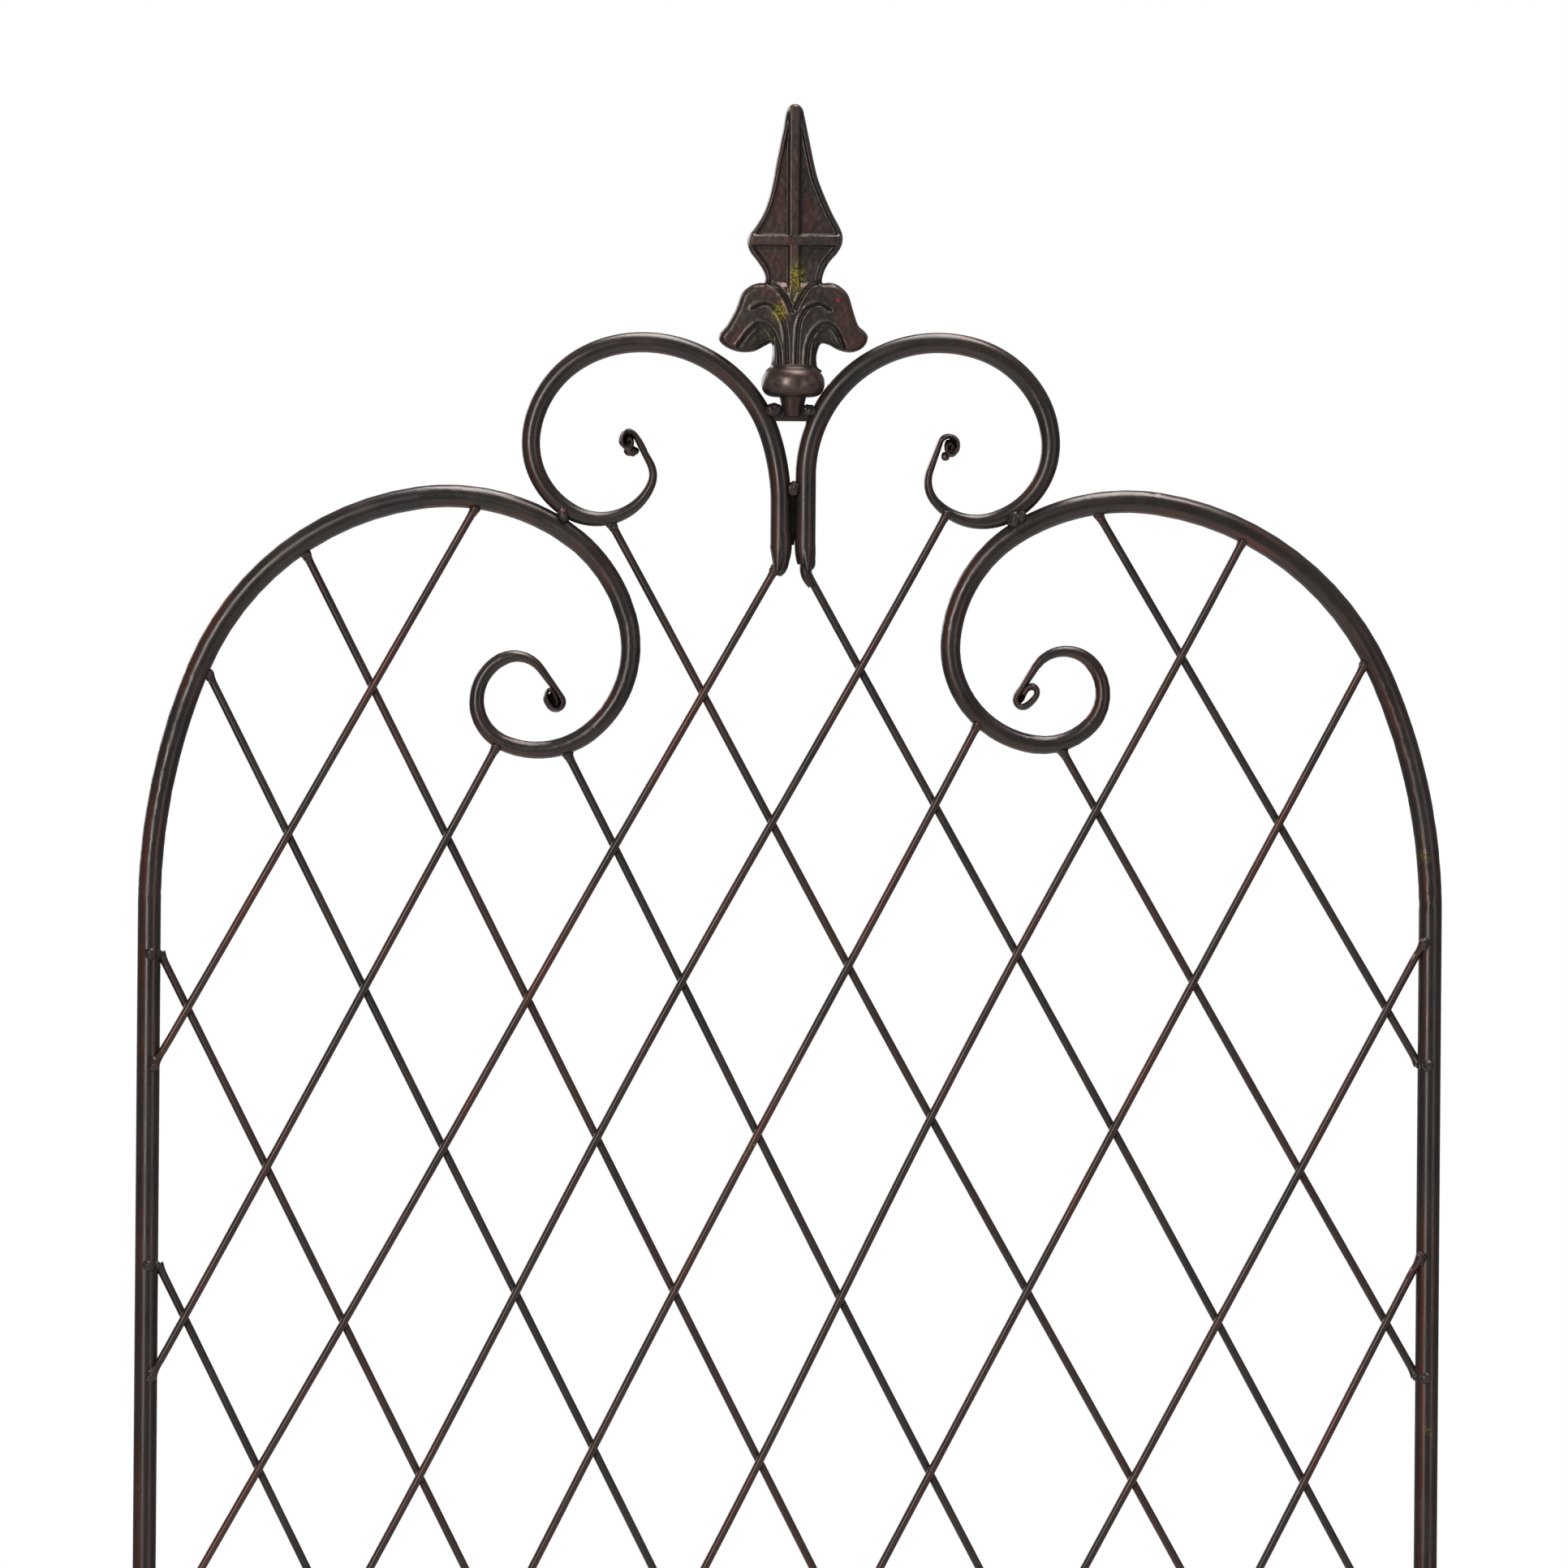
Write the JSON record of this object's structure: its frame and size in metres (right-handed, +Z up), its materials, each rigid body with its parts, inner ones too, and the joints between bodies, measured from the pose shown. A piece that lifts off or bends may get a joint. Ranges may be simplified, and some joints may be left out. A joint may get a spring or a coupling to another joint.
{
  "type": "garden trellis panel",
  "caption": "Flat welded garden trellis with arched, scrolled top, diamond lattice of crossing rods and a spear finial, on ground spikes.",
  "frame": {"origin": "on the soil line, midway between the two posts' axes, where the spikes enter the ground", "axes": "+X across the panel to the right, -Y to the front, +Z up"},
  "size_m": [0.716, 0.0344, 1.98],
  "materials": {
    "bent_tube": "dark bronze-brown paint with rubbed rust-red streaks, semi-gloss",
    "lattice_rod": "dark bronze-brown paint with rubbed rust-red streaks, semi-gloss",
    "casting": "dark painted casting with lighter worn ridges",
    "weld_bead": "painted-over weld, rough",
    "spike_steel": "dark paint, soil-rubbed"
  },
  "bodies": {
    "root": {"bottom_rail": "bent_tube", "falling_rod_01": "lattice_rod", "falling_rod_02": "lattice_rod", "falling_rod_03": "lattice_rod", "falling_rod_04": "lattice_rod", "falling_rod_05": "lattice_rod", "falling_rod_06": "lattice_rod", "falling_rod_07": "lattice_rod", "falling_rod_08": "lattice_rod", "falling_rod_09": "lattice_rod", "falling_rod_10": "lattice_rod", "falling_rod_11": "lattice_rod", "falling_rod_12": "lattice_rod", "falling_rod_13": "lattice_rod", "falling_rod_14": "lattice_rod", "finial": "casting", "finial_bar": "bent_tube", "finial_bar_welds": "weld_bead", "ground_spike_left": "spike_steel", "ground_spike_right": "spike_steel", "rising_rod_01": "lattice_rod", "rising_rod_02": "lattice_rod", "rising_rod_03": "lattice_rod", "rising_rod_04": "lattice_rod", "rising_rod_05": "lattice_rod", "rising_rod_06": "lattice_rod", "rising_rod_07": "lattice_rod", "rising_rod_08": "lattice_rod", "rising_rod_09": "lattice_rod", "rising_rod_10": "lattice_rod", "rising_rod_11": "lattice_rod", "rising_rod_12": "lattice_rod", "rising_rod_13": "lattice_rod", "rising_rod_14": "lattice_rod", "scroll_welds": "weld_bead", "side_frame_left": "bent_tube", "side_frame_right": "bent_tube", "stem_weld": "weld_bead", "upper_scroll_left": "bent_tube", "upper_scroll_right": "bent_tube"}
  },
  "joints": []
}
